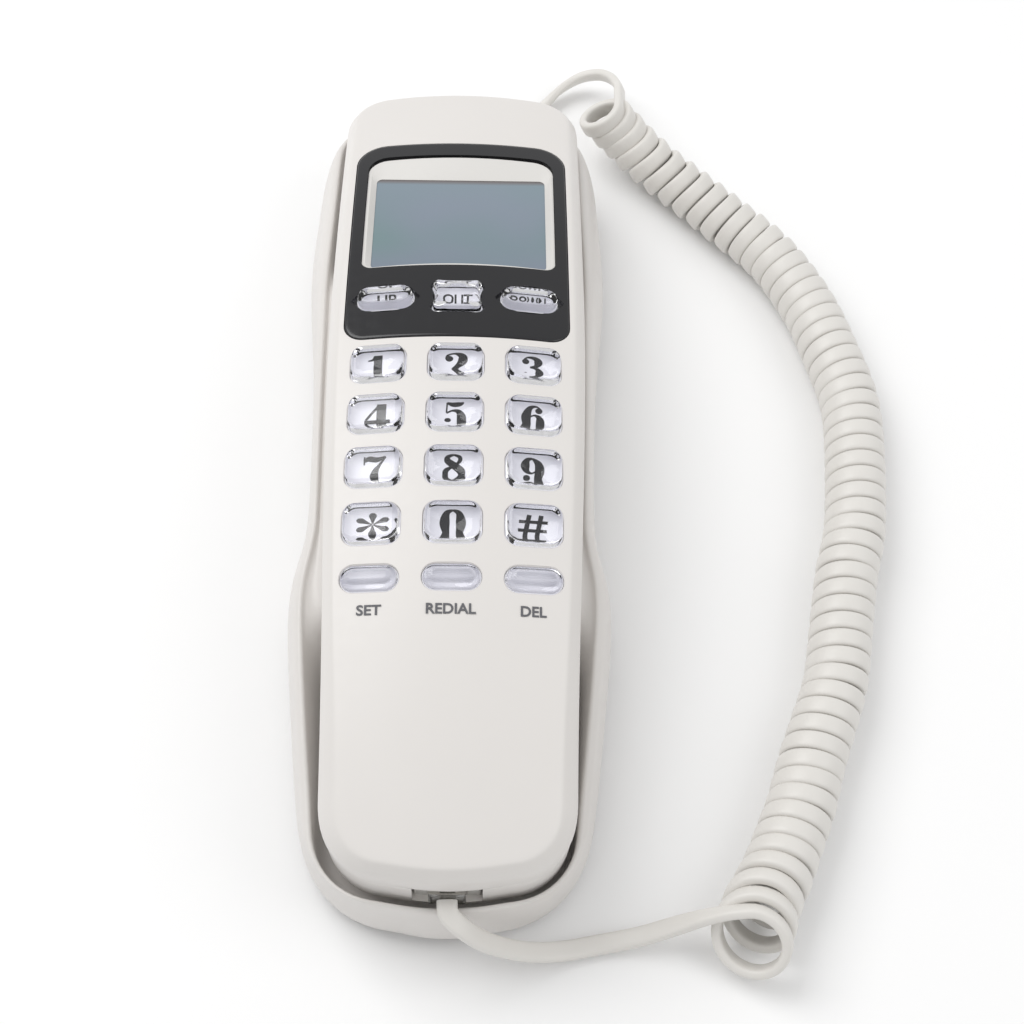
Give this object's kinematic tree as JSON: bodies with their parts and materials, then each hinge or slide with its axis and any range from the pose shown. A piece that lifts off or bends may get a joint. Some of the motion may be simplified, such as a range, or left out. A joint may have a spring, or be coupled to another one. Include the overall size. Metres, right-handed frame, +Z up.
{
  "type": "corded landline phone",
  "caption": "Slim corded phone: handset with keys and a display on its outer face, lying in a desk or wall cradle, joined to it by a curly cord.",
  "frame": {"origin": "on the resting surface, under the middle of the cradle and handset, cord left aside", "axes": "+Y along the phone towards the display end, +Z up out of the keys, +X to the right seen from above"},
  "size_m": [0.1427, 0.2578, 0.0538],
  "materials": {
    "shell": "satin-gloss moulded off-white plastic",
    "bezel": "glossy charcoal plastic",
    "cream": "fine matt cream plastic",
    "lcd": "grey-blue liquid crystal glass with a light sheen",
    "clear_key": "clear polished acrylic",
    "clear_plug": "clear moulded polycarbonate",
    "dark": "matt dark moulded plastic",
    "rubber": "matt black rubber",
    "mat": "lilac-white silicone rubber",
    "board": "green solder mask",
    "metal": "plain plated steel",
    "cord": "soft satin cord jacket, warm grey"
  },
  "bodies": {
    "base": {"cradle_shell": "shell", "base_plate": "shell", "foot_1": "rubber", "foot_2": "rubber", "foot_3": "rubber", "foot_4": "rubber", "base_screw_1": "metal", "base_screw_2": "metal", "base_screw_3": "metal", "base_screw_4": "metal", "base_board": "board", "hook_switch": "dark", "ringer": "dark", "handset_cord_jack": "dark", "line_jack": "dark", "base_plug": "clear_plug", "base_lead": "cord", "cord_coil": "cord", "handset_lead": "cord"},
    "handset": {"front_cover": "shell", "rear_cover": "shell", "display_bezel": "bezel", "display_frame": "cream", "display_glass": "lcd", "keypad_mat": "mat", "handset_board": "board", "earpiece_speaker": "metal", "microphone": "metal", "handset_weight": "metal", "handset_jack": "cream", "handset_plug": "clear_plug", "handset_screw_1": "metal", "handset_screw_2": "metal", "handset_screw_3": "metal"},
    "hook_plunger": {"hook_plunger": "shell"},
    "key_1": {"key_1": "clear_key"},
    "key_2": {"key_2": "clear_key"},
    "key_3": {"key_3": "clear_key"},
    "key_4": {"key_4": "clear_key"},
    "key_5": {"key_5": "clear_key"},
    "key_6": {"key_6": "clear_key"},
    "key_7": {"key_7": "clear_key"},
    "key_8": {"key_8": "clear_key"},
    "key_9": {"key_9": "clear_key"},
    "key_star": {"key_star": "clear_key"},
    "key_0": {"key_0": "clear_key"},
    "key_hash": {"key_hash": "clear_key"},
    "key_set": {"key_set": "clear_key"},
    "key_redial": {"key_redial": "clear_key"},
    "key_delete": {"key_delete": "clear_key"},
    "key_up": {"key_up": "clear_key"},
    "key_out": {"key_out": "clear_key"},
    "key_down": {"key_down": "clear_key"}
  },
  "joints": [
    {"name": "handset_lift", "type": "slide", "parent": "base", "child": "handset", "axis": [0, 0, 1], "range_m": [0, 0.08]},
    {"name": "hook_plunger_rise", "type": "slide", "parent": "base", "child": "hook_plunger", "axis": [0, 0, 1], "range_m": [0, 0.004]},
    {"name": "key_1_press", "type": "slide", "parent": "handset", "child": "key_1", "axis": [0.1346, -0.0192, -0.9907], "range_m": [0, 0.0012], "stiffness_N_per_m": 300},
    {"name": "key_2_press", "type": "slide", "parent": "handset", "child": "key_2", "axis": [0, -0.0194, -0.9998], "range_m": [0, 0.0012], "stiffness_N_per_m": 300},
    {"name": "key_3_press", "type": "slide", "parent": "handset", "child": "key_3", "axis": [-0.1346, -0.0192, -0.9907], "range_m": [0, 0.0012], "stiffness_N_per_m": 300},
    {"name": "key_4_press", "type": "slide", "parent": "handset", "child": "key_4", "axis": [0.1346, 0.0231, -0.9906], "range_m": [0, 0.0012], "stiffness_N_per_m": 300},
    {"name": "key_5_press", "type": "slide", "parent": "handset", "child": "key_5", "axis": [0, 0.0233, -0.9997], "range_m": [0, 0.0012], "stiffness_N_per_m": 300},
    {"name": "key_6_press", "type": "slide", "parent": "handset", "child": "key_6", "axis": [-0.1346, 0.0231, -0.9906], "range_m": [0, 0.0012], "stiffness_N_per_m": 300},
    {"name": "key_7_press", "type": "slide", "parent": "handset", "child": "key_7", "axis": [0.1344, 0.0653, -0.9888], "range_m": [0, 0.0012], "stiffness_N_per_m": 300},
    {"name": "key_8_press", "type": "slide", "parent": "handset", "child": "key_8", "axis": [0, 0.0659, -0.9978], "range_m": [0, 0.0012], "stiffness_N_per_m": 300},
    {"name": "key_9_press", "type": "slide", "parent": "handset", "child": "key_9", "axis": [-0.1344, 0.0653, -0.9888], "range_m": [0, 0.0012], "stiffness_N_per_m": 300},
    {"name": "key_star_press", "type": "slide", "parent": "handset", "child": "key_star", "axis": [0.1339, 0.1071, -0.9852], "range_m": [0, 0.0012], "stiffness_N_per_m": 300},
    {"name": "key_0_press", "type": "slide", "parent": "handset", "child": "key_0", "axis": [0, 0.1081, -0.9941], "range_m": [0, 0.0012], "stiffness_N_per_m": 300},
    {"name": "key_hash_press", "type": "slide", "parent": "handset", "child": "key_hash", "axis": [-0.1339, 0.1071, -0.9852], "range_m": [0, 0.0012], "stiffness_N_per_m": 300},
    {"name": "key_set_press", "type": "slide", "parent": "handset", "child": "key_set", "axis": [0.1332, 0.145, -0.9804], "range_m": [0, 0.0012], "stiffness_N_per_m": 300},
    {"name": "key_redial_press", "type": "slide", "parent": "handset", "child": "key_redial", "axis": [0, 0.1463, -0.9892], "range_m": [0, 0.0012], "stiffness_N_per_m": 300},
    {"name": "key_delete_press", "type": "slide", "parent": "handset", "child": "key_delete", "axis": [-0.1332, 0.145, -0.9804], "range_m": [0, 0.0012], "stiffness_N_per_m": 300},
    {"name": "key_up_press", "type": "slide", "parent": "handset", "child": "key_up", "axis": [0.1277, -0.0794, -0.9886], "range_m": [0, 0.0012], "stiffness_N_per_m": 300},
    {"name": "key_out_press", "type": "slide", "parent": "handset", "child": "key_out", "axis": [0, -0.0801, -0.9968], "range_m": [0, 0.0012], "stiffness_N_per_m": 300},
    {"name": "key_down_press", "type": "slide", "parent": "handset", "child": "key_down", "axis": [-0.1277, -0.0794, -0.9886], "range_m": [0, 0.0012], "stiffness_N_per_m": 300}
  ],
  "couplings": [
    {"joint": "hook_plunger_rise", "follows": "handset_lift", "ratio": 0.05}
  ]
}
